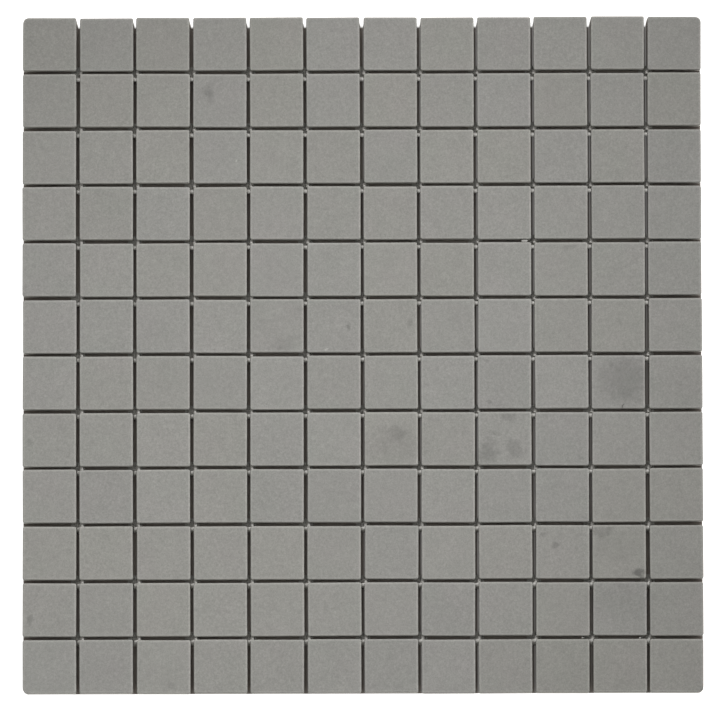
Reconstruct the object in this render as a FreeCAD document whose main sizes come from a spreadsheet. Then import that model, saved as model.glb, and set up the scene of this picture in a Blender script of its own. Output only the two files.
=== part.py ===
# Mosaic tile sheet: small square unglazed porcelain tiles, laid in rows and columns with open joints,
# and held together from behind by a dot of adhesive under every crossing of the joints.
#
# The sheet lies face up. X runs along a row, Y up the columns and Z up out of the face.
# The origin is under the middle of the sheet, on the plane that it rests on.

import FreeCAD, Part
import Sketcher
import math
import os
import random

# Name, value and meaning of each driving dimension, in millimetres and degrees.
SIZES = [
    ("tile_side", 23.5, "side of the square face of one tile"),
    ("tile_thick", 6.0, "thickness of one tile"),
    ("wall_draft", 1.0, "slope of the pressed side walls, which narrow to the back"),
    ("corner_cut", 0.5, "flat that stands for the small round of each upright corner"),
    ("face_edge_cut", 0.25, "eased edge all round the face"),
    ("joint", 1.5, "width of the open joint between two faces"),
    ("column_count", 12, "tiles in a row"),
    ("row_count", 12, "rows in the sheet"),
    ("place_scatter", 0.16, "most that a tile lies off its place in the grid, each way"),
    ("turn_scatter", 0.3, "most that a tile is turned on its place"),
    ("dot_across", 6.8, "width of an adhesive dot over the corners of its rim"),
    ("dot_thick", 0.6, "thickness of an adhesive dot under the backs of the tiles"),
    ("dot_sides", 12, "flats round the rim of a dot"),
    ("nib_length", 1.6, "length, along the joint, of the adhesive pressed up into it"),
    ("nib_offset", 2.4, "distance of that nib's middle from the crossing"),
    ("nib_depth", 1.1, "distance from the face down to the top of the nib"),
    ("nib_clearance", 0.1, "clearance of the nib from the walls of the joint"),
]

# Start of the random sequence that scatters the tiles.
SCATTER_SEED = 24

document = FreeCAD.newDocument("mosaic_tile_sheet")


def make_size_sheet():
    """Writes the driving dimensions to a spreadsheet, one named cell each."""
    sheet = document.addObject("Spreadsheet::Sheet", "sizes")
    for line, (name, value, meaning) in enumerate(SIZES, start=1):
        sheet.set(f"A{line}", meaning)
        sheet.set(f"B{line}", str(value))
        sheet.setAlias(f"B{line}", name)
    document.recompute()
    return sheet


sizes = make_size_sheet()

BACK_SIDE = "(sizes.tile_side - 2 * sizes.tile_thick * tan(sizes.wall_draft * 1deg))"
PITCH = "(sizes.tile_side + sizes.joint)"
NIB_WIDTH = (
    "(sizes.joint - 2 * sizes.place_scatter - sizes.tile_side * sin(sizes.turn_scatter * 1deg)"
    " - 2 * sizes.nib_clearance)"
)


def bind(thing, **formulas):
    """Binds properties of an object to formulas that read the size sheet."""
    for name, formula in formulas.items():
        thing.setExpression(name.replace("__", "."), formula)


def make_back_outline(body):
    """The square outline of a tile's back, centred on the origin of the body's ground plane."""
    outline = body.newObject("Sketcher::SketchObject", "back_outline")
    ground = next(plane for plane in body.Origin.OriginFeatures if plane.Role == "XY_Plane")
    outline.AttachmentSupport = [(ground, "")]
    outline.MapMode = "FlatFace"

    half = sizes.tile_side / 2
    corners = [FreeCAD.Vector(x * half, y * half, 0) for x, y in ((-1, -1), (1, -1), (1, 1), (-1, 1))]
    for start, end in zip(corners, corners[1:] + corners[:1]):
        outline.addGeometry(Part.LineSegment(start, end))

    start_point, end_point, origin = 1, 2, (-1, 1)
    for side, direction in enumerate(("Horizontal", "Vertical", "Horizontal", "Vertical")):
        following = (side + 1) % 4
        outline.addConstraint(Sketcher.Constraint("Coincident", side, end_point, following, start_point))
        outline.addConstraint(Sketcher.Constraint(direction, side))
    outline.addConstraint(Sketcher.Constraint("Symmetric", 0, start_point, 2, start_point, *origin))
    for side, name in enumerate(("length_x", "length_y")):
        constraint = outline.addConstraint(Sketcher.Constraint("Distance", side, sizes.tile_side))
        outline.renameConstraint(constraint, name)
        outline.setExpression(f"Constraints.{name}", BACK_SIDE)
    return outline


def edges_between(shape, lowest, highest):
    """Names of the edges of a shape that lie within two heights."""
    names = []
    for number, edge in enumerate(shape.Edges, start=1):
        if lowest <= edge.BoundBox.ZMin and edge.BoundBox.ZMax <= highest:
            names.append(f"Edge{number}")
    return names


def upright_edges(shape, height):
    """Names of the edges of a shape that run from the ground up to a height."""
    names = []
    for number, edge in enumerate(shape.Edges, start=1):
        if edge.BoundBox.ZLength > height / 2:
            names.append(f"Edge{number}")
    return names


def make_tile():
    """One pressed tile with its back on the ground plane: sloped walls, cut corners, eased face edges."""
    body = document.addObject("PartDesign::Body", "tile")
    outline = make_back_outline(body)

    block = body.newObject("PartDesign::Pad", "pressed_block")
    block.Profile = outline
    bind(block, Length="sizes.tile_thick", TaperAngle="sizes.wall_draft")
    document.recompute()

    corners = body.newObject("PartDesign::Chamfer", "corners")
    corners.Base = (block, upright_edges(block.Shape, sizes.tile_thick))
    bind(corners, Size="sizes.corner_cut")
    document.recompute()

    face = body.newObject("PartDesign::Chamfer", "face_edges")
    face.Base = (corners, edges_between(corners.Shape, sizes.tile_thick / 2, 2 * sizes.tile_thick))
    bind(face, Size="sizes.face_edge_cut")
    body.Tip = face
    document.recompute()
    return body


def make_dot():
    """One adhesive dot on the ground plane: a flat disc, with a nib that was pressed up into a joint."""
    disc = document.addObject("Part::Prism", "disc")
    bind(disc, Polygon="sizes.dot_sides", Circumradius="sizes.dot_across / 2", Height="sizes.dot_thick")

    nib = document.addObject("Part::Box", "nib")
    bind(
        nib,
        Length=NIB_WIDTH,
        Width="sizes.nib_length",
        Height="sizes.dot_thick + sizes.tile_thick - sizes.nib_depth",
        Placement__Base__x=f"-{NIB_WIDTH} / 2",
        Placement__Base__y="-sizes.nib_offset - sizes.nib_length / 2",
    )

    dot = document.addObject("Part::Fuse", "dot")
    dot.Base = disc
    dot.Tool = nib
    document.recompute()
    return dot


def make_copy(piece, name, x, y="0", turn="0"):
    """A copy of a piece, its place and its turn about Z bound to the size sheet."""
    copy = document.addObject("App::Link", name)
    copy.LinkedObject = piece
    bind(copy, Placement__Base__x=x, Placement__Base__y=y, Placement__Rotation__Angle=turn)
    return copy


def make_row(name, copies, y, z):
    """One sub-part: a row of copies that don't touch each other, at its place in the sheet."""
    row = document.addObject("Part::Compound", name)
    row.Links = copies
    bind(row, Placement__Base__y=y, Placement__Base__z=z)
    return row


def make_tile_row(tile, row, scatter):
    """A row of tiles, counted from the far edge, each a little off its place in the grid."""
    copies = []
    for column in range(1, int(sizes.column_count) + 1):
        off_x, off_y, turn = (round(scatter.uniform(-1, 1), 2) for _ in range(3))
        copies.append(
            make_copy(
                tile,
                f"tile_{row:02d}_{column:02d}",
                x=f"({column} - (sizes.column_count + 1) / 2) * {PITCH} + {off_x} * sizes.place_scatter",
                y=f"{off_y} * sizes.place_scatter",
                turn=f"{turn} * sizes.turn_scatter",
            )
        )
    place = f"((sizes.row_count + 1) / 2 - {row}) * {PITCH}"
    return make_row(f"tile_row_{row:02d}", copies, y=place, z="sizes.dot_thick")


def make_dot_row(dot, row):
    """The dots under the crossings between one row of tiles and the next."""
    copies = []
    for column in range(1, int(sizes.column_count)):
        place = f"({column} - sizes.column_count / 2) * {PITCH}"
        copies.append(make_copy(dot, f"dot_{row:02d}_{column:02d}", x=place))
    return make_row(f"adhesive_dots_{row:02d}", copies, y=f"(sizes.row_count / 2 - {row}) * {PITCH}", z="0")


def make_rows(tile, dot):
    """All the rows of tiles, then all the rows of dots."""
    scatter = random.Random(SCATTER_SEED)
    row_count = int(sizes.row_count)
    tile_rows = [make_tile_row(tile, row, scatter) for row in range(1, row_count + 1)]
    dot_rows = [make_dot_row(dot, row) for row in range(1, row_count)]
    document.recompute()
    return tile_rows, dot_rows


def check_document():
    """Stops the build if an object of the document failed."""
    for thing in document.Objects:
        if {"Invalid", "Error"} & set(thing.State):
            raise RuntimeError(f"{thing.Label} failed: {thing.State}")


def check_tile(tile):
    """Stops the build if a tile isn't its tapered block less the small cuts on its edges."""
    back = sizes.tile_side - 2 * sizes.tile_thick * math.tan(math.radians(sizes.wall_draft))
    block = sizes.tile_thick * (back**2 + back * sizes.tile_side + sizes.tile_side**2) / 3
    cuts = 2 * sizes.corner_cut**2 * sizes.tile_thick + 2 * sizes.face_edge_cut**2 * sizes.tile_side
    if abs(block - cuts - tile.Shape.Volume) > cuts / 4:
        raise RuntimeError(f"a tile has {tile.Shape.Volume:.1f} mm3 instead of {block - cuts:.1f}")


def check_rows(rows, piece):
    """Stops the build if a row isn't a set of whole, separate copies of a piece."""
    for row in rows:
        if row.Shape.isNull() or not row.Shape.isValid():
            raise RuntimeError(f"{row.Label} has no valid shape")
        if len(row.Shape.Solids) != len(row.Links):
            raise RuntimeError(f"{row.Label} has {len(row.Shape.Solids)} solids")
        if not math.isclose(row.Shape.Volume, len(row.Links) * piece.Shape.Volume, rel_tol=1e-6):
            raise RuntimeError(f"{row.Label} doesn't hold {len(row.Links)} whole pieces")


def export(rows):
    """Writes each row to a STEP file named after it."""
    os.makedirs("parts", exist_ok=True)
    for row in rows:
        row.Shape.exportStep(f"parts/{row.Label}.step")


tile = make_tile()
dot = make_dot()
tile_rows, dot_rows = make_rows(tile, dot)
check_document()
check_tile(tile)
check_rows(tile_rows, tile)
check_rows(dot_rows, dot)
export(tile_rows + dot_rows)
print(f"a tile has {tile.Shape.Volume:.1f} mm3 and a dot {dot.Shape.Volume:.2f} mm3")
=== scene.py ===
# Mosaic tile sheet: twelve rows of twelve small square tiles of unglazed grey porcelain with open joints.
# The tiles are dry pressed, fired and laid face down in a jig, and a dot of adhesive is set on their backs
# over every crossing of the joints. The cured dots hold the sheet together.

import cmath
import math

import bmesh
import bpy
import numpy as np
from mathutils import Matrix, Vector


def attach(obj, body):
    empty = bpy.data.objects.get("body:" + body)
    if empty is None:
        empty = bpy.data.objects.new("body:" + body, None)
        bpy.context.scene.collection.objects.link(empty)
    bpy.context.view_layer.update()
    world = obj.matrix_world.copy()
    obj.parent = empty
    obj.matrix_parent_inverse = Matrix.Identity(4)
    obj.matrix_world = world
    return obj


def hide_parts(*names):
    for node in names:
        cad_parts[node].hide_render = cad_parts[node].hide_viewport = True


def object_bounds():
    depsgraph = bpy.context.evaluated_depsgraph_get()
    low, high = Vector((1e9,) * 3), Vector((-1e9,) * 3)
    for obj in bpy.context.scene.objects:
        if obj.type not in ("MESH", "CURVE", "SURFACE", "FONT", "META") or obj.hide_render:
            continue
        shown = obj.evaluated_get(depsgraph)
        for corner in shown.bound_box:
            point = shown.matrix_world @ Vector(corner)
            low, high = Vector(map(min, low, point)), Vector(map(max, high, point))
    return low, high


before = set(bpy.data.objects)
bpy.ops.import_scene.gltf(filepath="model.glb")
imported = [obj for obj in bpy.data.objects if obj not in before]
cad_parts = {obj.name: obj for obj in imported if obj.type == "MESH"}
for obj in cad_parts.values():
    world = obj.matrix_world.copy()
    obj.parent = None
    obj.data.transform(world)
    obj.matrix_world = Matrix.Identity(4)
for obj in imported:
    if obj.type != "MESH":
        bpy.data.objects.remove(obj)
cad_low, cad_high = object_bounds()

# Tiles: porcelain pressed dry in a steel die and fired without a glaze. The die leaves side walls that
# slope in to the back, a small round on every edge, and shallow grooves in the back that key into the
# bed. Each tile lies a little off its place in the grid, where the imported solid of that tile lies.

MM = 0.001
# Points nearer to each other than this count as one.
HAIR = 0.01 * MM

COLUMNS = 12
ROWS = 12
PITCH = 25 * MM
# Most that a tile leans about X, and about Y.
MOST_LEAN = math.radians(0.12)

TILE_HALF = 23.5 * MM / 2
TILE_THICK = 6 * MM
WALL_SLOPE = math.tan(math.radians(1))
EDGE_ROUND = 0.50 * MM
BACK_ROUND = 0.25 * MM
# Rounds of the upright corners: at the outline of a tile's face, the least that the rings further in keep,
# and at the four outer corners of the sheet.
CORNER_ROUND = 0.8 * MM
LEAST_CORNER_ROUND = 0.3 * MM
OUTER_ROUND = 2.4 * MM
# Steps round a corner, and share of a side beyond which the corner's shading doesn't reach.
CORNER_STEPS = 4
SIDE_SUPPORT = 0.13

# How strongly the rim's painted highlight is laid on, from 0 to 1, at each step of the edge's round from the
# face down to the wall, and the width of the face over which that fades.
RIM_WEIGHTS = (1.0, 0.9, 0.55, 0.1, 0.0)
RIM_BAND = 0.6 * MM

# Grooves in the back. The bed of a groove is smaller than its mouth by GROOVE_SLOPE all round.
GROOVE_COUNT = 4
GROOVE_PITCH = 4.9 * MM
GROOVE_HALF_WIDTH = 1.3 * MM
GROOVE_HALF_LENGTH = 9 * MM
GROOVE_DEPTH = 0.35 * MM
GROOVE_SLOPE = 0.3 * MM

# Added to a row's number, these are the seeds of its tiles' leans, tones and batches.
LEAN_SEEDS = (1000, 2000)
TONE_SEED = 0
BATCH_SEED = 500

FACE_COLOUR = "#92918C"
WARM_BATCH = "#939188"
COOL_BATCH = "#929190"
PINK_DRIFT = "#96918F"
GREEN_DRIFT = "#8E9189"
# How far the face takes on the colour of its batch, and then that of a slow drift, how wide the drift's
# patches are, and by what share a whole tile is lighter or darker at most.
BATCH_SHARE = 0.4
DRIFT_SHARE = 0.5
DRIFT_SIZE = 14 * MM
TONE_SPREAD = 0.025

# Grain: width of its spots in mm, detail, and brightness of the darkest and of the lightest spots, which
# the noise has at the two ends of GRAIN_NOISE. Real grit is 0.1 to 0.2 mm, too fine to show, so the finest
# spots are drawn 0.5 mm wide.
GRAINS = (
    (8.0, 0.0, 0.983, 1.017),
    (2.2, 1.0, 0.960, 1.040),
    (1.0, 1.0, 0.915, 1.085),
    (0.5, 1.0, 0.91, 1.09),
)
GRAIN_NOISE = (0.25, 0.75)
# Relief of the same grit, drawn 0.35 mm wide.
SAND_SIZE = 0.35 * MM
SAND_DEPTH = 0.03 * MM
TILE_ROUGHNESS = 0.72

# How much lighter the rim is, a painted highlight, and how many times as light the walls are, painted light
# on them. On the way down from the face, at 6.6 mm, the wall light starts and is full at these heights.
RIM_HIGHLIGHT_GAIN = 0.22
WALL_LIGHT_GAIN = 2.0
WALL_LIGHT_HEIGHTS = (6.0 * MM, 4.4 * MM)

# Places where the tiles took up damp or dirt, pale flecks, whose last number is below 0, and one dark mark
# that stands for a small chip. Column and row, counted from 0 at the far left, middle from the tile's middle
# and half width and half height in mm, and share of darkening.
STAINS = (
    (3, 1, -4.5, 1.6, 2.7, 3.3, 0.12),
    (3, 1, -5.3, 4.3, 3.1, 3.5, 0.12),
    (3, 2, 8.0, -1.8, 0.5, 0.5, -0.35),
    (4, 5, 3.0, -7.4, 5.5, 3.6, 0.06),
    (4, 5, 0.7, -8.4, 1.2, 1.4, 0.08),
    (4, 5, 10.2, 7.6, 1.2, 1.6, 0.10),
    (5, 5, 6.8, 0.2, 1.1, 1.5, 0.24),
    (6, 5, 9.0, 1.2, 1.2, 1.9, 0.14),
    (5, 5, -2.6, -10.0, 0.6, 0.5, -0.40),
    (6, 7, 3.0, 2.8, 3.4, 3.0, 0.15),
    (6, 7, 1.5, -3.0, 12.5, 8.5, 0.11),
    (8, 6, -7.9, -9.0, 1.3, 1.1, 0.18),
    (8, 6, -8.6, 9.4, 2.2, 1.1, 0.11),
    (8, 7, -7.6, -5.8, 4.2, 5.4, 0.20),
    (8, 7, 4.0, -4.6, 3.6, 3.9, 0.16),
    (8, 7, 1.9, 8.9, 2.9, 1.9, 0.17),
    (8, 7, -4.8, 2.0, 2.8, 1.3, 0.12),
    (10, 6, 2.2, 0.6, 11.5, 11.0, 0.12),
    (10, 6, 2.8, 0.6, 8.0, 8.8, 0.09),
    (10, 6, 3.6, -4.2, 3.2, 2.8, 0.04),
    # A small chip in the near edge, drawn only as a dark mark: painted shade of the nick and dirt in it.
    (10, 6, 1.7, -10.9, 0.50, 1.2, 0.60),
    (10, 9, 8.8, -9.2, 2.6, 1.7, 0.46),
    (10, 9, -7.4, 8.7, 4.2, 2.6, 0.19),
    (10, 9, -1.0, 3.5, 10.0, 6.5, 0.06),
    (10, 10, 1.0, 4.0, 14.0, 9.0, 0.07),
    (11, 6, 1.0, -8.0, 13.0, 16.0, 0.05),
    (0, 10, -8.8, -4.5, 1.4, 2.9, 0.21),
    (0, 7, -9.3, -1.2, 1.0, 2.0, 0.15),
    (2, 11, 4.2, -8.2, 2.2, 1.9, 0.11),
    (9, 4, 4.2, 9.6, 3.5, 0.9, 0.10),
    (9, 9, -3.1, 2.2, 1.4, 1.4, 0.24),
    (9, 9, -7.9, 7.9, 1.2, 1.2, 0.20),
    (9, 7, 8.3, -9.0, 1.2, 1.0, 0.10),
    (7, 6, -5.1, 6.0, 0.8, 1.2, 0.10),
)
# A stain's outline wanders in waves of one size, by up to half of another, and frays over spots of a third.
# The fraying, 0 to FRAY_MOST, is added to the distance from the stain's middle in half widths. The stain is
# full up to the first sum and gone from the second on.
STAIN_WAVE = 6 * MM
STAIN_BEND = 6 * MM
FRAY_SIZE = 2 * MM
FRAY_MOST = 1.6
STAIN_REACH = (1.3, 2.25)


def linear(code):
    """Linear colour of an sRGB hex code."""
    shown = [int(code[start:start + 2], 16) / 255 for start in (1, 3, 5)]
    levels = [level / 12.92 if level <= 0.04045 else ((level + 0.055) / 1.055) ** 2.4 for level in shown]
    return (*levels, 1.0)


def add_node(tree, kind, inputs=(), **settings):
    """Adds a node with its settings, and fills its inputs: from the first on, or those that a dict names.

    An input is given a number, a socket, or a node, which stands for its first output. Inputs that share a
    name go by their place: 2 and 3 are the least and the most of a random number, which is output 1, and 0,
    6 and 7 are the share and the two colours of a mix, which is output 2.
    """
    node = tree.nodes.new(kind)
    for name, value in settings.items():
        setattr(node, name, value)
    for key, value in inputs.items() if isinstance(inputs, dict) else enumerate(inputs):
        if isinstance(value, bpy.types.Node):
            value = value.outputs[0]
        if isinstance(value, bpy.types.NodeSocket):
            tree.links.new(value, node.inputs[key])
        else:
            node.inputs[key].default_value = value
    return node


def add_object(name, data):
    """An object in the scene."""
    made = bpy.data.objects.new(name, data)
    bpy.context.scene.collection.objects.link(made)
    return made


def ring_points(half, radius, height):
    """One closed ring round a tile: an arc at each corner, and a point on each side just beyond each arc."""
    arcs = []
    for quarter in range(4):
        start = quarter * math.pi / 2
        middle = Vector((math.cos(start + math.pi / 4), math.sin(start + math.pi / 4), 0)) * math.sqrt(2)
        centre = middle * (half - radius) + Vector((0, 0, height))
        angles = [start + step / CORNER_STEPS * math.pi / 2 for step in range(CORNER_STEPS + 1)]
        arcs.append([centre + radius * Vector((math.cos(angle), math.sin(angle), 0)) for angle in angles])
    points = []
    for arc, following in zip(arcs, arcs[1:] + arcs[:1]):
        points += arc
        points += [arc[-1].lerp(following[0], share) for share in (SIDE_SUPPORT, 1 - SIDE_SUPPORT)]
    return points


def tile_profile():
    """Inset from the face's outline, height and rim weight of each ring, from the face down to the back."""
    profile = [(EDGE_ROUND + RIM_BAND, TILE_THICK, 0.0)]
    for step, weight in enumerate(RIM_WEIGHTS):
        angle = math.pi / 2 * (1 - step / (len(RIM_WEIGHTS) - 1))
        inset = EDGE_ROUND * (1 - math.cos(angle))
        profile.append((inset, TILE_THICK - EDGE_ROUND * (1 - math.sin(angle)), weight))
    wall_inset = (TILE_THICK - BACK_ROUND) * WALL_SLOPE
    profile.append((wall_inset, BACK_ROUND, 0.0))
    profile.append((wall_inset + BACK_ROUND, 0.0, 0.0))
    return profile


def bridge(mesh, ring, following, smooth):
    """Faces between two rings of as many points."""
    for corners in zip(ring, ring[1:] + ring[:1], following[1:] + following[:1], following):
        mesh.faces.new(corners).smooth = smooth


def groove_ring(mesh, middle, inset, height):
    """The outline of a groove in the back, or of its bed."""
    half_x, half_y = GROOVE_HALF_WIDTH - inset, GROOVE_HALF_LENGTH - inset
    corners = ((-half_x, -half_y), (half_x, -half_y), (half_x, half_y), (-half_x, half_y))
    return [mesh.verts.new((middle + x, y, height)) for x, y in corners]


def press_tile(mesh):
    """One tile with its back on the ground plane, each point marked with how much painted highlight its rim
    takes.
    """
    rim = mesh.verts.layers.float.new("rim")
    rings = []
    for inset, height, weight in tile_profile():
        points = ring_points(TILE_HALF - inset, max(CORNER_ROUND - inset, LEAST_CORNER_ROUND), height)
        ring = [mesh.verts.new(point) for point in points]
        for vert in ring:
            vert[rim] = weight
        rings.append(ring)
    mesh.faces.new(rings[0])
    for ring, following in zip(rings, rings[1:]):
        bridge(mesh, ring, following, True)

    outlines = [rings[-1]]
    for groove in range(GROOVE_COUNT):
        middle = (groove - (GROOVE_COUNT - 1) / 2) * GROOVE_PITCH
        mouth = groove_ring(mesh, middle, 0, 0)
        bed = groove_ring(mesh, middle, GROOVE_SLOPE, GROOVE_DEPTH)
        bridge(mesh, mouth, bed, False)
        mesh.faces.new(bed)
        outlines.append(mouth)
    back_edges = [mesh.edges.get(pair) for ring in outlines for pair in zip(ring, ring[1:] + ring[:1])]
    bmesh.ops.triangle_fill(mesh, edges=back_edges, use_beauty=True, use_dissolve=False)


def solid(name, build, *given):
    """An object made from one closed shape, with its faces turned outwards."""
    mesh = bmesh.new()
    build(mesh, *given)
    bmesh.ops.recalc_face_normals(mesh, faces=mesh.faces)
    made = bpy.data.meshes.new(name)
    mesh.to_mesh(made)
    mesh.free()
    return add_object(name, made)


def node_points(node):
    """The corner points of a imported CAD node, each once."""
    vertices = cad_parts[node].data.vertices
    numbers = np.empty(len(vertices) * 3)
    vertices.foreach_get("co", numbers)
    return np.unique(numbers.reshape(-1, 3).round(7), axis=0)


def tile_places(node):
    """Middle of the back and turn of each tile in a packed row.

    A face's corner points lie about its diagonals, so the fourth powers of their directions add up to one
    that points along -1 on a tile that isn't turned, and turns four times as far as the tile.
    """
    points = node_points(node)
    face = points[points[:, 2] > points[:, 2].max() - HAIR]
    columns = np.floor(face[:, 0] / PITCH + COLUMNS / 2)
    places = []
    for column in range(COLUMNS):
        corners = face[columns == column]
        middle = corners.mean(axis=0)
        fourth = sum(complex(*(corner - middle)[:2]) ** 4 for corner in corners)
        places.append(((middle[0], middle[1], points[:, 2].min()), cmath.phase(-fourth) / 4))
    return places


def start_tree(name, inputs):
    """An empty Geometry Nodes tree with named inputs, and the sockets of its two ends."""
    tree = bpy.data.node_groups.new(name, "GeometryNodeTree")
    tree.interface.new_socket("Geometry", in_out="INPUT", socket_type="NodeSocketGeometry")
    tree.interface.new_socket("Geometry", in_out="OUTPUT", socket_type="NodeSocketGeometry")
    for label, kind in inputs:
        tree.interface.new_socket(label, in_out="INPUT", socket_type=f"NodeSocket{kind}")
    return tree, add_node(tree, "NodeGroupInput").outputs, add_node(tree, "NodeGroupOutput").inputs


def tile_tree():
    """Geometry Nodes that set a tile on every point, turned as it lies, and mark it with tone and batch."""
    tree, given, result = start_tree(
        "lay_tiles", [("Tile", "Object"), ("Lean", "Float"), ("Seed", "Int"), ("Material", "Material")]
    )
    tile = add_node(tree, "GeometryNodeObjectInfo", {"Object": given["Tile"]})
    turn = add_node(tree, "GeometryNodeInputNamedAttribute", {"Name": "turn"}, data_type="FLOAT")
    least = add_node(tree, "ShaderNodeMath", (given["Lean"], -1.0), operation="MULTIPLY")
    leans = []
    for step in LEAN_SEEDS:
        seed = add_node(tree, "ShaderNodeMath", (given["Seed"], step))
        lean = add_node(
            tree, "FunctionNodeRandomValue", {2: least, 3: given["Lean"], "Seed": seed}, data_type="FLOAT"
        )
        leans.append(lean.outputs[1])
    turned = add_node(tree, "ShaderNodeCombineXYZ", (*leans, turn))
    rotation = add_node(tree, "FunctionNodeEulerToRotation", (turned,))
    flow = add_node(
        tree,
        "GeometryNodeInstanceOnPoints",
        {"Points": given["Geometry"], "Instance": tile.outputs["Geometry"], "Rotation": rotation},
    )
    for name, step in (("tone", TONE_SEED), ("batch", BATCH_SEED)):
        seed = add_node(tree, "ShaderNodeMath", (given["Seed"], step))
        draw = add_node(tree, "FunctionNodeRandomValue", {2: -1.0, 3: 1.0, "Seed": seed}, data_type="FLOAT")
        flow = add_node(
            tree,
            "GeometryNodeStoreNamedAttribute",
            {"Geometry": flow, "Name": name, "Value": draw.outputs[1]},
            data_type="FLOAT",
            domain="INSTANCE",
        )
    whole = add_node(tree, "GeometryNodeRealizeInstances", (flow,))
    painted = add_node(tree, "GeometryNodeSetMaterial", {"Geometry": whole, "Material": given["Material"]})
    tree.links.new(painted.outputs[0], result["Geometry"])
    return tree


def finished_mesh(thing):
    """A plain mesh of what an object's modifiers make of it."""
    depsgraph = bpy.context.evaluated_depsgraph_get()
    return bpy.data.meshes.new_from_object(
        thing.evaluated_get(depsgraph), preserve_all_data_layers=True, depsgraph=depsgraph
    )


def grow(name, points, tree, values):
    """Runs a Geometry Nodes tree on a cloud of points and keeps what it makes as a plain mesh."""
    piece = add_object(name, points)
    modifier = piece.modifiers.new("tree", "NODES")
    modifier.node_group = tree
    for label, value in values.items():
        modifier[tree.interface.items_tree[label].identifier] = value
    made = finished_mesh(piece)
    piece.modifiers.remove(modifier)
    piece.data = made
    return piece


def cloud(places, **values):
    """A mesh of bare points, with a number for each point under each name."""
    mesh = bpy.data.meshes.new("places")
    mesh.from_pydata(places, [], [])
    for attribute, numbers in values.items():
        mesh.attributes.new(attribute, "FLOAT", "POINT").data.foreach_set("value", numbers)
    return mesh


def wear_corner(mesh, corner, inward):
    """Rounds the upright edge at an outer corner of the sheet further, as handling wears it.

    The round's middle moves in, and each point of it keeps its direction from there.
    """
    for vert in mesh.vertices:
        into = Vector([(vert.co[axis] - corner[axis]) * inward[axis] for axis in (0, 1)])
        if max(into) < CORNER_ROUND + HAIR:
            arm = Vector((CORNER_ROUND, CORNER_ROUND)) - into
            reach = arm.length + OUTER_ROUND - CORNER_ROUND
            for axis in (0, 1):
                vert.co[axis] = corner[axis] + inward[axis] * (OUTER_ROUND - reach * arm[axis] / arm.length)


def start_material(name):
    """A new material with its tree and its shader, and where each point lies on the object."""
    material = bpy.data.materials.new(name)
    material.use_nodes = True
    tree = material.node_tree
    place = add_node(tree, "ShaderNodeTexCoord").outputs["Object"]
    return material, tree, tree.nodes["Principled BSDF"], place


def body_colour(tree, place, batch):
    """Colour of the fired body: each tile a little warm or cool, with a slow drift to pink and to green."""
    warmth = add_node(tree, "ShaderNodeMath", (batch, 0.5, 0.5), operation="MULTIPLY_ADD")
    fired = add_node(
        tree, "ShaderNodeMix", {0: warmth, 6: linear(COOL_BATCH), 7: linear(WARM_BATCH)}, data_type="RGBA"
    )
    face = add_node(
        tree,
        "ShaderNodeMix",
        {0: BATCH_SHARE, 6: linear(FACE_COLOUR), 7: fired.outputs[2]},
        data_type="RGBA",
    )
    drift = add_node(
        tree,
        "ShaderNodeTexNoise",
        {"Vector": place, "W": batch, "Scale": 1 / DRIFT_SIZE, "Detail": 1.0},
        noise_dimensions="4D",
    )
    drifted = add_node(
        tree, "ShaderNodeMix", {0: drift, 6: linear(PINK_DRIFT), 7: linear(GREEN_DRIFT)}, data_type="RGBA"
    )
    body = add_node(
        tree, "ShaderNodeMix", {0: DRIFT_SHARE, 6: face.outputs[2], 7: drifted.outputs[2]}, data_type="RGBA"
    )
    return body.outputs[2]


def fired_shares(tree, place, tone, batch):
    """Brightness from the firing: that of the whole tile, and that of each grain."""
    shares = [add_node(tree, "ShaderNodeMath", (tone, TONE_SPREAD, 1.0), operation="MULTIPLY_ADD")]
    for size, detail, least, most in GRAINS:
        grain = add_node(
            tree,
            "ShaderNodeTexNoise",
            {"Vector": place, "W": batch, "Scale": 1 / (size * MM), "Detail": detail},
            noise_dimensions="4D",
        )
        shares.append(add_node(tree, "ShaderNodeMapRange", (grain, *GRAIN_NOISE, least, most)))
    return shares


def painted_light_shares(tree, place, rim):
    """Painted light: a highlight on the rim, and lighter walls below the face."""
    rim_highlight = add_node(tree, "ShaderNodeMath", (rim, RIM_HIGHLIGHT_GAIN, 1.0), operation="MULTIPLY_ADD")
    height = add_node(tree, "ShaderNodeSeparateXYZ", (place,)).outputs[2]
    lit_walls = add_node(tree, "ShaderNodeMapRange", (height, *WALL_LIGHT_HEIGHTS, 1.0, WALL_LIGHT_GAIN))
    return [rim_highlight, lit_walls]


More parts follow.
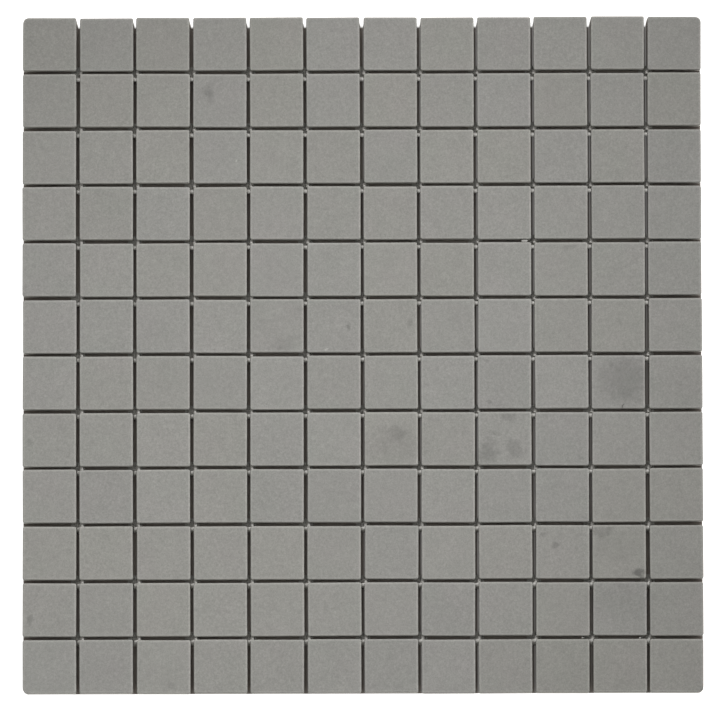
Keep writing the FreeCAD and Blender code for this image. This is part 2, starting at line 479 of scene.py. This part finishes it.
def stain_shares(tree, place):
    """Brightness that each stain leaves, with an outline that wanders and frays."""
    wave = add_node(tree, "ShaderNodeTexNoise", {"Vector": place, "Scale": 1 / STAIN_WAVE, "Detail": 2.0})
    wave = add_node(tree, "ShaderNodeVectorMath", (wave.outputs["Color"], (-0.5, -0.5, -0.5)))
    bent = add_node(
        tree, "ShaderNodeVectorMath", (wave, (STAIN_BEND, STAIN_BEND, 0), place), operation="MULTIPLY_ADD"
    )
    fray = add_node(
        tree,
        "ShaderNodeTexNoise",
        {"Vector": place, "Scale": 1 / FRAY_SIZE, "Detail": 4.0, "Roughness": 0.6},
    )
    shares = []
    for column, row, off_x, off_y, half_x, half_y, dark in STAINS:
        middle = (
            (column - (COLUMNS - 1) / 2) * PITCH + off_x * MM,
            ((ROWS - 1) / 2 - row) * PITCH + off_y * MM,
            0,
        )
        local = add_node(tree, "ShaderNodeVectorMath", (bent, middle), operation="SUBTRACT")
        halves = (1 / (half_x * MM), 1 / (half_y * MM), 0)
        scaled = add_node(tree, "ShaderNodeVectorMath", (local, halves), operation="MULTIPLY")
        reach = add_node(tree, "ShaderNodeVectorMath", (scaled,), operation="LENGTH").outputs["Value"]
        frayed = add_node(tree, "ShaderNodeMath", (fray, FRAY_MOST, reach), operation="MULTIPLY_ADD")
        shares.append(
            add_node(
                tree,
                "ShaderNodeMapRange",
                (frayed, *STAIN_REACH, 1.0 - dark, 1.0),
                interpolation_type="SMOOTHSTEP",
            )
        )
    return shares


def porcelain():
    """Unglazed porcelain: matt, with a sandy grain, a painted highlight on the rim, painted light on the
    walls, and a few stains.

    The batch is the fourth place in each noise, so no tile has the pattern of its neighbour.
    """
    material, tree, shader, place = start_material("unglazed_grey_porcelain")
    tone, batch, rim = (
        add_node(tree, "ShaderNodeAttribute", attribute_name=name).outputs["Fac"]
        for name in ("tone", "batch", "rim")
    )
    bright, *shares = (
        *fired_shares(tree, place, tone, batch), *painted_light_shares(tree, place, rim), *stain_shares(tree, place)
    )
    for share in shares:
        bright = add_node(tree, "ShaderNodeMath", (bright, share), operation="MULTIPLY")
    body = body_colour(tree, place, batch)
    colour = add_node(tree, "ShaderNodeVectorMath", {0: body, "Scale": bright}, operation="SCALE")
    tree.links.new(colour.outputs[0], shader.inputs["Base Color"])

    sand = add_node(tree, "ShaderNodeTexNoise", {"Vector": place, "Scale": 1 / SAND_SIZE, "Detail": 3.0})
    relief = add_node(tree, "ShaderNodeBump", {"Height": sand, "Strength": 0.5, "Distance": SAND_DEPTH})
    tree.links.new(relief.outputs[0], shader.inputs["Normal"])
    shader.inputs["Roughness"].default_value = TILE_ROUGHNESS
    return material


pressed_tile = solid("pressed_tile", press_tile)
tile_laying = tile_tree()
fired_body = porcelain()
for row in range(1, ROWS + 1):
    node = f"tile_row_{row:02d}"
    places, turns = zip(*tile_places(node))
    piece = grow(
        f"pressed_tiles_{row:02d}",
        cloud(places, turn=turns),
        tile_laying,
        {"Tile": pressed_tile, "Lean": MOST_LEAN, "Seed": row, "Material": fired_body},
    )
    if row in (1, ROWS):
        side_y = 1 if row == 1 else -1
        for column, side_x in ((0, -1), (COLUMNS - 1, 1)):
            arm = TILE_HALF * complex(side_x, side_y) * cmath.rect(1, turns[column])
            corner = complex(*places[column][:2]) + arm
            wear_corner(piece.data, (corner.real, corner.imag), (-side_x, -side_y))
    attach(piece, "root")
    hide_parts(node)
bpy.data.objects.remove(pressed_tile)

# Adhesive dots: a drop of pale hot-melt on the tile backs over every crossing, pressed flat by the release
# sheet under it and squeezed up into the joints. It left a low pool at the crossing, and a nib on the near
# side and one on the right of it, which climb the walls of the tile between them.

DOT_ROUND = 3.3 * MM
DOT_THICK = 0.6 * MM
DOT_SIDES = 14
# Radius and height of the rings of a dot's rim, from the underside up.
DOT_RIM = (
    (DOT_ROUND - 0.4 * MM, 0),
    (DOT_ROUND, 0.2 * MM),
    (DOT_ROUND, 0.45 * MM),
    (DOT_ROUND - 0.15 * MM, DOT_THICK),
)
# Width of the smallest dot as a share of the largest.
LEAST_DOT = 0.95

# Adhesive in the joints, in mm: distance along the joint from the crossing, middle across the joint, half
# width, and height at the left or far wall and at the right or near wall. One ridge runs along the column
# joint, from far to near, and the other along the row joint, from left to right.
NEAR_RIDGE = (
    (2.6, 0.0, 0.50, 0.70, 0.70),
    (1.2, 0.0, 0.85, 0.85, 0.85),
    (-0.9, 0.0, 0.90, 1.0, 1.0),
    (-1.2, 0.3, 0.95, 1.6, 2.6),
    (-1.5, 0.3, 0.95, 4.4, 5.4),
    (-1.9, 0.3, 0.95, 5.2, 6.15),
    (-2.8, 0.3, 0.95, 5.2, 6.15),
    (-3.15, 0.3, 0.95, 4.4, 5.4),
    (-3.3, 0.3, 0.85, 2.0, 3.0),
)
SIDE_RIDGE = (
    (-2.4, 0.0, 0.5, 0.70, 0.70),
    (-1.0, 0.0, 0.85, 0.85, 0.85),
    (0.2, 0.0, 0.85, 0.95, 0.95),
    (0.5, 0.0, 0.95, 2.0, 2.8),
    (0.8, 0.0, 0.95, 3.9, 4.5),
    (1.1, 0.0, 0.95, 4.6, 5.1),
    (1.8, 0.0, 0.95, 4.6, 5.1),
    (2.1, 0.0, 0.95, 3.8, 4.5),
    (2.3, 0.0, 0.85, 1.4, 2.0),
    (2.6, 0.0, 0.5, 0.70, 0.70),
)
# Height of a ridge's foot and drop of its shoulders in mm, and width of its crest as a share of the whole.
RIDGE_FOOT = 0.25
RIDGE_SHOULDER = 0.25
RIDGE_CREST = 0.55

# A nib leans more and more from its foot to its top. The near nib is the part on the near side of
# NEAR_NIB_FROM, and takes a share of the right nib's lean to the side.
NIB_FOOT = 1.4 * MM
NIB_TOP = 4.6 * MM
NEAR_NIB_FROM = -1.1 * MM
NEAR_NIB_SHARE = 0.6
# The tops of the near nibs lean this far to the far side in the last row of dots, and to the near side in
# the first.
NEAR_LEAN = 0.88 * MM
# The tops of the right nibs lean SIDE_LEAN_MIDDLE to the right in the middle of the sheet, SIDE_LEAN less at
# its right edge and more at its left edge, and SIDE_LEAN_NEAR more again at the near end of the left edge
# and less at the far end.
SIDE_LEAN_MIDDLE = -0.35 * MM
SIDE_LEAN = 0.75 * MM
SIDE_LEAN_NEAR = 0.40 * MM
# The same for how high they are: RISE less at the right edge and more at the left edge, and RISE_NEAR more
# again at the near end of the left edge and less at the far end. The near nibs get lower by a share of what
# the right nibs gain.
RISE = 0.20 * MM
RISE_NEAR = 0.30 * MM
NEAR_NIB_DROP = 0.4

# Stray beads: row of dots, and then in mm the middle, half length and half width, and height of the middle.
STRAY_BEADS = (
    (4, 71.4, 49.95, 1.5, 0.62, 5.5),
    (11, 96.2, -125.2, 0.5, 0.4, 5.2),
    (11, 121.4, -125.3, 0.5, 0.4, 5.2),
)
BEAD_HALF_HEIGHT = 0.4

ADHESIVE_COLOUR = "#C4C2BD"
ADHESIVE_ROUGHNESS = 0.38
# Cloudiness: width of the clouds, range of the noise, and brightness at its two ends.
CLOUD_SIZE = 1.6 * MM
CLOUD_NOISE = (0.3, 0.7)
CLOUD_LEVELS = (0.86, 1.05)
# Relief of the bubbles. Real ones are about 0.1 mm, too fine to show, so they are drawn 0.4 mm wide.
BUBBLE_SIZE = 0.4 * MM
BUBBLE_DEPTH = 0.05 * MM


def close_rings(mesh, rings):
    """Faces along a row of rings, and one over each end."""
    for ring, following in zip(rings, rings[1:]):
        bridge(mesh, ring, following, True)
    mesh.faces.new(rings[0])
    mesh.faces.new(rings[-1])


def disc(mesh):
    """The flat round part of a dot, with a rounded rim."""
    angles = [2 * math.pi * side / DOT_SIDES for side in range(DOT_SIDES)]
    rings = []
    for radius, height in DOT_RIM:
        points = [(radius * math.cos(angle), radius * math.sin(angle), height) for angle in angles]
        rings.append([mesh.verts.new(point) for point in points])
    close_rings(mesh, rings)


def ridge(mesh, stations, along):
    """A closed ridge with rounded shoulders that runs along Y, or X, through the middle of a dot."""
    rings = []
    for place, middle, half, low, high in stations:
        section = [
            (-half, RIDGE_FOOT),
            (-half, low - RIDGE_SHOULDER),
            (-RIDGE_CREST * half, low),
            (RIDGE_CREST * half, high),
            (half, high - RIDGE_SHOULDER),
            (half, RIDGE_FOOT),
        ]
        if along == "Y":
            points = [(middle + across, place, height) for across, height in section]
        else:
            points = [(place, middle - across, height) for across, height in section]
        rings.append([mesh.verts.new([size * MM for size in point]) for point in points])
    close_rings(mesh, rings)


def fuse(base, others):
    """Joins closed shapes to a base as one plain mesh of triangles, without slivers that have no area."""
    for other in others:
        join = base.modifiers.new("join", "BOOLEAN")
        join.operation = "UNION"
        join.solver = "EXACT"
        join.object = other
    made = finished_mesh(base)
    base.modifiers.clear()
    mesh = bmesh.new()
    mesh.from_mesh(made)
    bmesh.ops.triangulate(mesh, faces=mesh.faces)
    bmesh.ops.dissolve_degenerate(mesh, dist=HAIR, edges=mesh.edges)
    mesh.to_mesh(made)
    mesh.free()
    base.data = made
    for other in others:
        bpy.data.objects.remove(other)


def make_dot():
    """One cured dot under a crossing, with how far each point moves along X, Y and Z as the nibs lean."""
    dot = solid("dot", disc)
    fuse(dot, [solid("near_ridge", ridge, NEAR_RIDGE, "Y"), solid("side_ridge", ridge, SIDE_RIDGE, "X")])
    moves = []
    for vert in dot.data.vertices:
        share = min(max((vert.co.z - NIB_FOOT) / (NIB_TOP - NIB_FOOT), 0), 1)
        if vert.co.y < NEAR_NIB_FROM:
            moves.append((share * NEAR_NIB_SHARE, share, -share * NEAR_NIB_DROP))
        else:
            moves.append((share, 0, share))
    for axis, shares in zip("xyz", zip(*moves)):
        dot.data.attributes.new(f"share_{axis}", "FLOAT", "POINT").data.foreach_set("value", shares)
    return dot


def dot_tree():
    """Geometry Nodes that set a dot at every crossing, a little smaller or larger, and lean its nibs."""
    tree, given, result = start_tree(
        "set_dots", [("Dot", "Object"), ("Least size", "Float"), ("Seed", "Int"), ("Material", "Material")]
    )
    dot = add_node(tree, "GeometryNodeObjectInfo", {"Object": given["Dot"]})
    size = add_node(
        tree,
        "FunctionNodeRandomValue",
        {2: given["Least size"], 3: 1.0, "Seed": given["Seed"]},
        data_type="FLOAT",
    ).outputs[1]
    scale = add_node(tree, "ShaderNodeCombineXYZ", (size, size, 1.0))
    placed = add_node(
        tree,
        "GeometryNodeInstanceOnPoints",
        {"Points": given["Geometry"], "Instance": dot.outputs["Geometry"], "Scale": scale},
    )
    whole = add_node(tree, "GeometryNodeRealizeInstances", (placed,))
    vectors = []
    for name in ("share", "lean"):
        parts = [
            add_node(tree, "GeometryNodeInputNamedAttribute", {"Name": f"{name}_{axis}"}, data_type="FLOAT")
            for axis in "xyz"
        ]
        vectors.append(add_node(tree, "ShaderNodeCombineXYZ", parts))
    shift = add_node(tree, "ShaderNodeVectorMath", vectors, operation="MULTIPLY")
    moved = add_node(tree, "GeometryNodeSetPosition", {"Geometry": whole, "Offset": shift})
    painted = add_node(tree, "GeometryNodeSetMaterial", {"Geometry": moved, "Material": given["Material"]})
    tree.links.new(painted.outputs[0], result["Geometry"])
    return tree


def dot_places(node):
    """Middle of the underside of each dot in a packed row."""
    points = node_points(node)
    under = points[points[:, 2] < HAIR]
    columns = np.round(under[:, 0] / PITCH)
    return [under[columns == column].mean(axis=0) for column in np.unique(columns)]


def bead(mesh, x, y, half_x, half_y, height):
    """A stray bead of adhesive, longer than it is wide."""
    bmesh.ops.create_icosphere(mesh, subdivisions=2, radius=1)
    for vert in mesh.verts:
        vert.co = (
            (x + vert.co.x * half_x) * MM,
            (y + vert.co.y * half_y) * MM,
            (height + vert.co.z * BEAD_HALF_HEIGHT) * MM,
        )


def hot_melt():
    """Cured hot-melt adhesive: milky off-white and satin, faintly cloudy, with fine bubbles."""
    material, tree, shader, place = start_material("cured_hot_melt")
    clouds = add_node(tree, "ShaderNodeTexNoise", {"Vector": place, "Scale": 1 / CLOUD_SIZE, "Detail": 3.0})
    bright = add_node(tree, "ShaderNodeMapRange", (clouds, *CLOUD_NOISE, *CLOUD_LEVELS))
    milky = linear(ADHESIVE_COLOUR)[:3]
    colour = add_node(tree, "ShaderNodeVectorMath", {0: milky, "Scale": bright}, operation="SCALE")
    tree.links.new(colour.outputs[0], shader.inputs["Base Color"])

    bubbles = add_node(
        tree, "ShaderNodeTexNoise", {"Vector": place, "Scale": 1 / BUBBLE_SIZE, "Detail": 2.0}
    )
    relief = add_node(tree, "ShaderNodeBump", {"Height": bubbles, "Strength": 0.4, "Distance": BUBBLE_DEPTH})
    tree.links.new(relief.outputs[0], shader.inputs["Normal"])
    shader.inputs["Roughness"].default_value = ADHESIVE_ROUGHNESS
    return material


dot = make_dot()
dot_setting = dot_tree()
cured = hot_melt()
for row in range(1, ROWS):
    node = f"adhesive_dots_{row:02d}"
    places = dot_places(node)
    # These run from -1 in the first row to 1 in the last, and from -1 at the left edge to 1 at the right.
    nearness = 2 * (row - 1) / (ROWS - 2) - 1
    rightness = [place[0] / cad_high.x for place in places]
    leans = {
        "lean_x": [
            SIDE_LEAN_MIDDLE - SIDE_LEAN * side + SIDE_LEAN_NEAR * nearness * (1 - side) / 2
            for side in rightness
        ],
        "lean_y": [NEAR_LEAN * nearness] * len(places),
        "lean_z": [-RISE * side + RISE_NEAR * nearness * (1 - side) / 2 for side in rightness],
    }
    piece = grow(
        f"cured_dots_{row:02d}",
        cloud(places, **leans),
        dot_setting,
        {"Dot": dot, "Least size": LEAST_DOT, "Seed": row, "Material": cured},
    )
    beads = [solid("bead", bead, *sizes) for of_row, *sizes in STRAY_BEADS if of_row == row]
    for stray in beads:
        stray.data.materials.append(cured)
    if beads:
        fuse(piece, beads)
    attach(piece, "root")
    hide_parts(node)
bpy.data.objects.remove(dot)

# Floor: white paper that the sheet lies loose on. It shows white round the sheet and in the notches of the
# far edge. Under the sheet its colour is painted shade, darker towards the mouths of the joints at the left,
# the right and the near edge.

FLOOR_HALF = 6.0
WHITE_PAPER = "#F4F2EE"
PAINTED_SHADE_PAPER = "#ABA39C"
PAINTED_MOUTH_SHADE = "#8C847E"
PAPER_ROUGHNESS = 0.9
# How strongly the white paper, and the paler band under the column joints, glow to the camera. The band's
# glow is painted light standing in for a lit strip of tile wall.
WHITE_GLOW = 0.9
BAND_GLOW = 0.11

# The photo was taken from nearer than this camera, so its right-hand column joints show a strip of tile
# wall. The paler band stands for it. Over the first range of X its middle goes from the first to the second
# distance right of the joint's middle. It is full up to the first half width and gone from the second on.
BAND_RUN = (25 * MM, 125 * MM)
BAND_OFF = (0.65 * MM, 0.10 * MM)
BAND_HALF = (0.15 * MM, 0.45 * MM)
# It comes in over this range of X, and goes again where X and Y both run through theirs, to the near right.
BAND_COMES = (-40 * MM, 40 * MM)
BAND_GOES_X = (50 * MM, 110 * MM)
BAND_GOES_Y = (90 * MM, -90 * MM)

# White in the notches of the far edge: its depth in the middle, how far from the middle it starts to lose
# depth and has none, how far to the left the middle strays for each step of X, and the range of Y over which
# the paper turns white beside a notch.
NOTCH_DEPTH = 4.2 * MM
NOTCH_HALF = (0.5 * MM, 1.5 * MM)
NOTCH_STRAY = 0.004
FAR_EDGE = (149.4 * MM, 150.4 * MM)
# The sheet's outline is a square with round corners: distance of their middles along X and Y, and radius.
OUTLINE_MIDDLE = 146.8 * MM
OUTLINE_ROUND = 2.3 * MM
# The painted shade on the paper gets darker over this range of distances from the sheet's middle to the left
# and the right, and over one this much further out to the near side.
MOUTHS = (124 * MM, 146 * MM)
NEAR_MOUTHS_OUT = 9 * MM


def wall_band(tree, x, y, across):
    """How much of the paler band, a painted glow, each point of the paper has."""
    middle = add_node(tree, "ShaderNodeMapRange", (x, *BAND_RUN, *BAND_OFF))
    off_band = add_node(tree, "ShaderNodeMath", (across, middle), operation="SUBTRACT")
    off_band = add_node(tree, "ShaderNodeMath", (off_band,), operation="ABSOLUTE")
    band = add_node(tree, "ShaderNodeMapRange", (off_band, *BAND_HALF, 1.0, 0.0))
    come = add_node(tree, "ShaderNodeMapRange", (x, *BAND_COMES, 0.0, 1.0))
    far_right = add_node(tree, "ShaderNodeMapRange", (x, *BAND_GOES_X, 0.0, 1.0))
    nearness = add_node(tree, "ShaderNodeMapRange", (y, *BAND_GOES_Y, 0.0, 1.0))
    gone = add_node(tree, "ShaderNodeMath", (far_right, nearness), operation="MULTIPLY")
    strength = add_node(tree, "ShaderNodeMath", (come, gone), operation="SUBTRACT")
    return add_node(tree, "ShaderNodeMath", (band, strength), operation="MULTIPLY")


def round_sheet(tree, x, y, across):
    """Where the paper is round the sheet or in a notch of its far edge: 1 there, and 0 under the sheet."""
    apart = add_node(tree, "ShaderNodeMath", (x, NOTCH_STRAY, across), operation="MULTIPLY_ADD")
    apart = add_node(tree, "ShaderNodeMath", (apart,), operation="ABSOLUTE")
    depth = add_node(tree, "ShaderNodeMapRange", (apart, *NOTCH_HALF, NOTCH_DEPTH, 0.0))
    deepened = add_node(tree, "ShaderNodeMath", (y, depth))
    notch = add_node(tree, "ShaderNodeMapRange", (deepened, *FAR_EDGE, 0.0, 1.0))
    steps = []
    for axis in (x, y):
        step = add_node(tree, "ShaderNodeMath", (axis,), operation="ABSOLUTE")
        step = add_node(tree, "ShaderNodeMath", (step, OUTLINE_MIDDLE), operation="SUBTRACT")
        steps.append(add_node(tree, "ShaderNodeMath", (step, 0.0), operation="MAXIMUM"))
    reach = add_node(tree, "ShaderNodeCombineXYZ", steps)
    reach = add_node(tree, "ShaderNodeVectorMath", (reach,), operation="LENGTH").outputs["Value"]
    past_edge = add_node(tree, "ShaderNodeMath", (reach, OUTLINE_ROUND), operation="GREATER_THAN")
    return add_node(tree, "ShaderNodeMath", (notch, past_edge), operation="MAXIMUM")


def mouth_shade(tree, x, y):
    """How far the painted shade on the paper darkens towards the mouths of the joints."""
    to_side = add_node(tree, "ShaderNodeMath", (x,), operation="ABSOLUTE")
    to_near = add_node(tree, "ShaderNodeMath", (y, -1.0, -NEAR_MOUTHS_OUT), operation="MULTIPLY_ADD")
    to_mouth = add_node(tree, "ShaderNodeMath", (to_side, to_near), operation="MAXIMUM")
    return add_node(tree, "ShaderNodeMapRange", (to_mouth, *MOUTHS, 0.0, 1.0))


def paper():
    """White paper: dead matt, white where it is in the open, and painted a warm grey shade under the sheet.
    """
    material, tree, shader, place = start_material("white_paper")
    x, y = add_node(tree, "ShaderNodeSeparateXYZ", (place,)).outputs[:2]
    joint = add_node(tree, "ShaderNodeMath", (x, PITCH / 2))
    joint = add_node(tree, "ShaderNodeMath", (joint, PITCH), operation="SNAP")
    across = add_node(tree, "ShaderNodeMath", (x, joint), operation="SUBTRACT")
    outside = round_sheet(tree, x, y, across)
    shaded = add_node(
        tree,
        "ShaderNodeMix",
        {0: mouth_shade(tree, x, y), 6: linear(PAINTED_SHADE_PAPER), 7: linear(PAINTED_MOUTH_SHADE)},
        data_type="RGBA",
    )
    tone = add_node(
        tree, "ShaderNodeMix", {0: outside, 6: shaded.outputs[2], 7: linear(WHITE_PAPER)}, data_type="RGBA"
    )
    tree.links.new(tone.outputs[2], shader.inputs["Base Color"])

    rays = add_node(tree, "ShaderNodeLightPath").outputs
    seen = rays["Is Camera Ray"]
    for kind in ("Is Glossy Ray", "Is Transmission Ray"):
        seen = add_node(tree, "ShaderNodeMath", (seen, rays[kind]), operation="MAXIMUM")
    band = wall_band(tree, x, y, across)
    glow = add_node(tree, "ShaderNodeMath", (outside, WHITE_GLOW), operation="MULTIPLY")
    glow = add_node(tree, "ShaderNodeMath", (band, BAND_GLOW, glow), operation="MULTIPLY_ADD")
    glow = add_node(tree, "ShaderNodeMath", (seen, glow), operation="MULTIPLY")
    tree.links.new(glow.outputs[0], shader.inputs["Emission Strength"])
    shader.inputs["Emission Color"].default_value = (1, 1, 1, 1)
    shader.inputs["Roughness"].default_value = PAPER_ROUGHNESS
    shader.inputs["Specular IOR Level"].default_value = 0.0
    return material


floor_mesh = bpy.data.meshes.new("white_floor")
floor_mesh.from_pydata(
    [(x * FLOOR_HALF, y * FLOOR_HALF, 0) for x, y in ((-1, -1), (1, -1), (1, 1), (-1, 1))],
    [],
    [(0, 1, 2, 3)],
)
floor_mesh.materials.append(paper())
floor = add_object("white_floor", floor_mesh)

# Light: a wide soft dome, brightest 20 to 45 degrees up and towards the far right, dim higher up and bright
# again in a small patch straight overhead, and a soft key lamp at the far right. The camera sees white for
# the dome.

# Height of a direction, from 0 at the horizon to 1 straight overhead, and brightness of the dome there.
DOME_LEVELS = ((0.0, 0.55), (0.35, 1.0), (0.68, 0.90), (0.86, 0.10), (0.95, 0.01), (1.0, 1.0))
# The dome's brighter side, and by what share it is brighter there and dimmer opposite.
DOME_SIDE = (0.6, 0.8, 0)
DOME_LEAN = 0.42

# Key lamp: direction to it, point that it shines at, distance, watts, cone, and radius of its source.
KEY_DIRECTION = (0.48, 0.58, 0.85)
KEY_AIM = (-0.056, -0.037, 0)
KEY_DISTANCE = 3.0
KEY_POWER = 179.5
KEY_CONE = math.radians(11.6)
KEY_RADIUS = 0.12

world = bpy.data.worlds.new("soft_dome")
bpy.context.scene.world = world
world.use_nodes = True
tree = world.node_tree
tree.nodes.clear()
direction = add_node(tree, "ShaderNodeTexCoord").outputs["Generated"]
height = add_node(tree, "ShaderNodeSeparateXYZ", (direction,)).outputs[2]
ramp = add_node(tree, "ShaderNodeValToRGB", (height,))
stops = ramp.color_ramp.elements
for at, level in DOME_LEVELS[1:-1]:
    stops.new(at)
for stop, (at, level) in zip(stops, DOME_LEVELS):
    stop.color = (level, level, level, 1)
side = add_node(tree, "ShaderNodeVectorMath", (direction, DOME_SIDE), operation="DOT_PRODUCT")
lean = add_node(tree, "ShaderNodeMath", (side.outputs["Value"], DOME_LEAN, 1.0), operation="MULTIPLY_ADD")
strength = add_node(tree, "ShaderNodeMath", (ramp, lean), operation="MULTIPLY")
dome = add_node(tree, "ShaderNodeBackground", {"Color": (1, 1, 1, 1), "Strength": strength})
white = add_node(tree, "ShaderNodeBackground", {"Color": (1, 1, 1, 1), "Strength": 1.0})
rays = add_node(tree, "ShaderNodeLightPath").outputs
sky = add_node(tree, "ShaderNodeMixShader", (rays["Is Camera Ray"], dome, white))
add_node(tree, "ShaderNodeOutputWorld", {"Surface": sky})

key = add_object("key", bpy.data.lights.new("key", "SPOT"))
towards_key = Vector(KEY_DIRECTION).normalized()
key.location = Vector(KEY_AIM) + KEY_DISTANCE * towards_key
key.rotation_euler = towards_key.to_track_quat("Z", "Y").to_euler()
key.data.energy = KEY_POWER
key.data.spot_size = KEY_CONE
key.data.spot_blend = 1
key.data.shadow_soft_size = KEY_RADIUS

# Camera: far off with a long lens, a little to the near side of straight above, where the sheet is as wide
# and as square as in the photo.

CAMERA_PLACE = (0.02887, -0.57902, 5.426)
# Turn about X, Y and Z in degrees.
CAMERA_TURN = (6.07, 0.33, -0.131)
# Width of the sensor in mm, and focal length and width of the photo in its pixels.
SENSOR_WIDTH = 36
FOCAL_PIXELS = 12406
PHOTO_PIXELS = 720

camera = add_object("camera", bpy.data.cameras.new("camera"))
camera.location = CAMERA_PLACE
camera.rotation_euler = [math.radians(angle) for angle in CAMERA_TURN]
camera.data.sensor_width = SENSOR_WIDTH
camera.data.lens = FOCAL_PIXELS * SENSOR_WIDTH / PHOTO_PIXELS
bpy.context.scene.camera = camera
bpy.context.scene.view_settings.view_transform = "Standard"
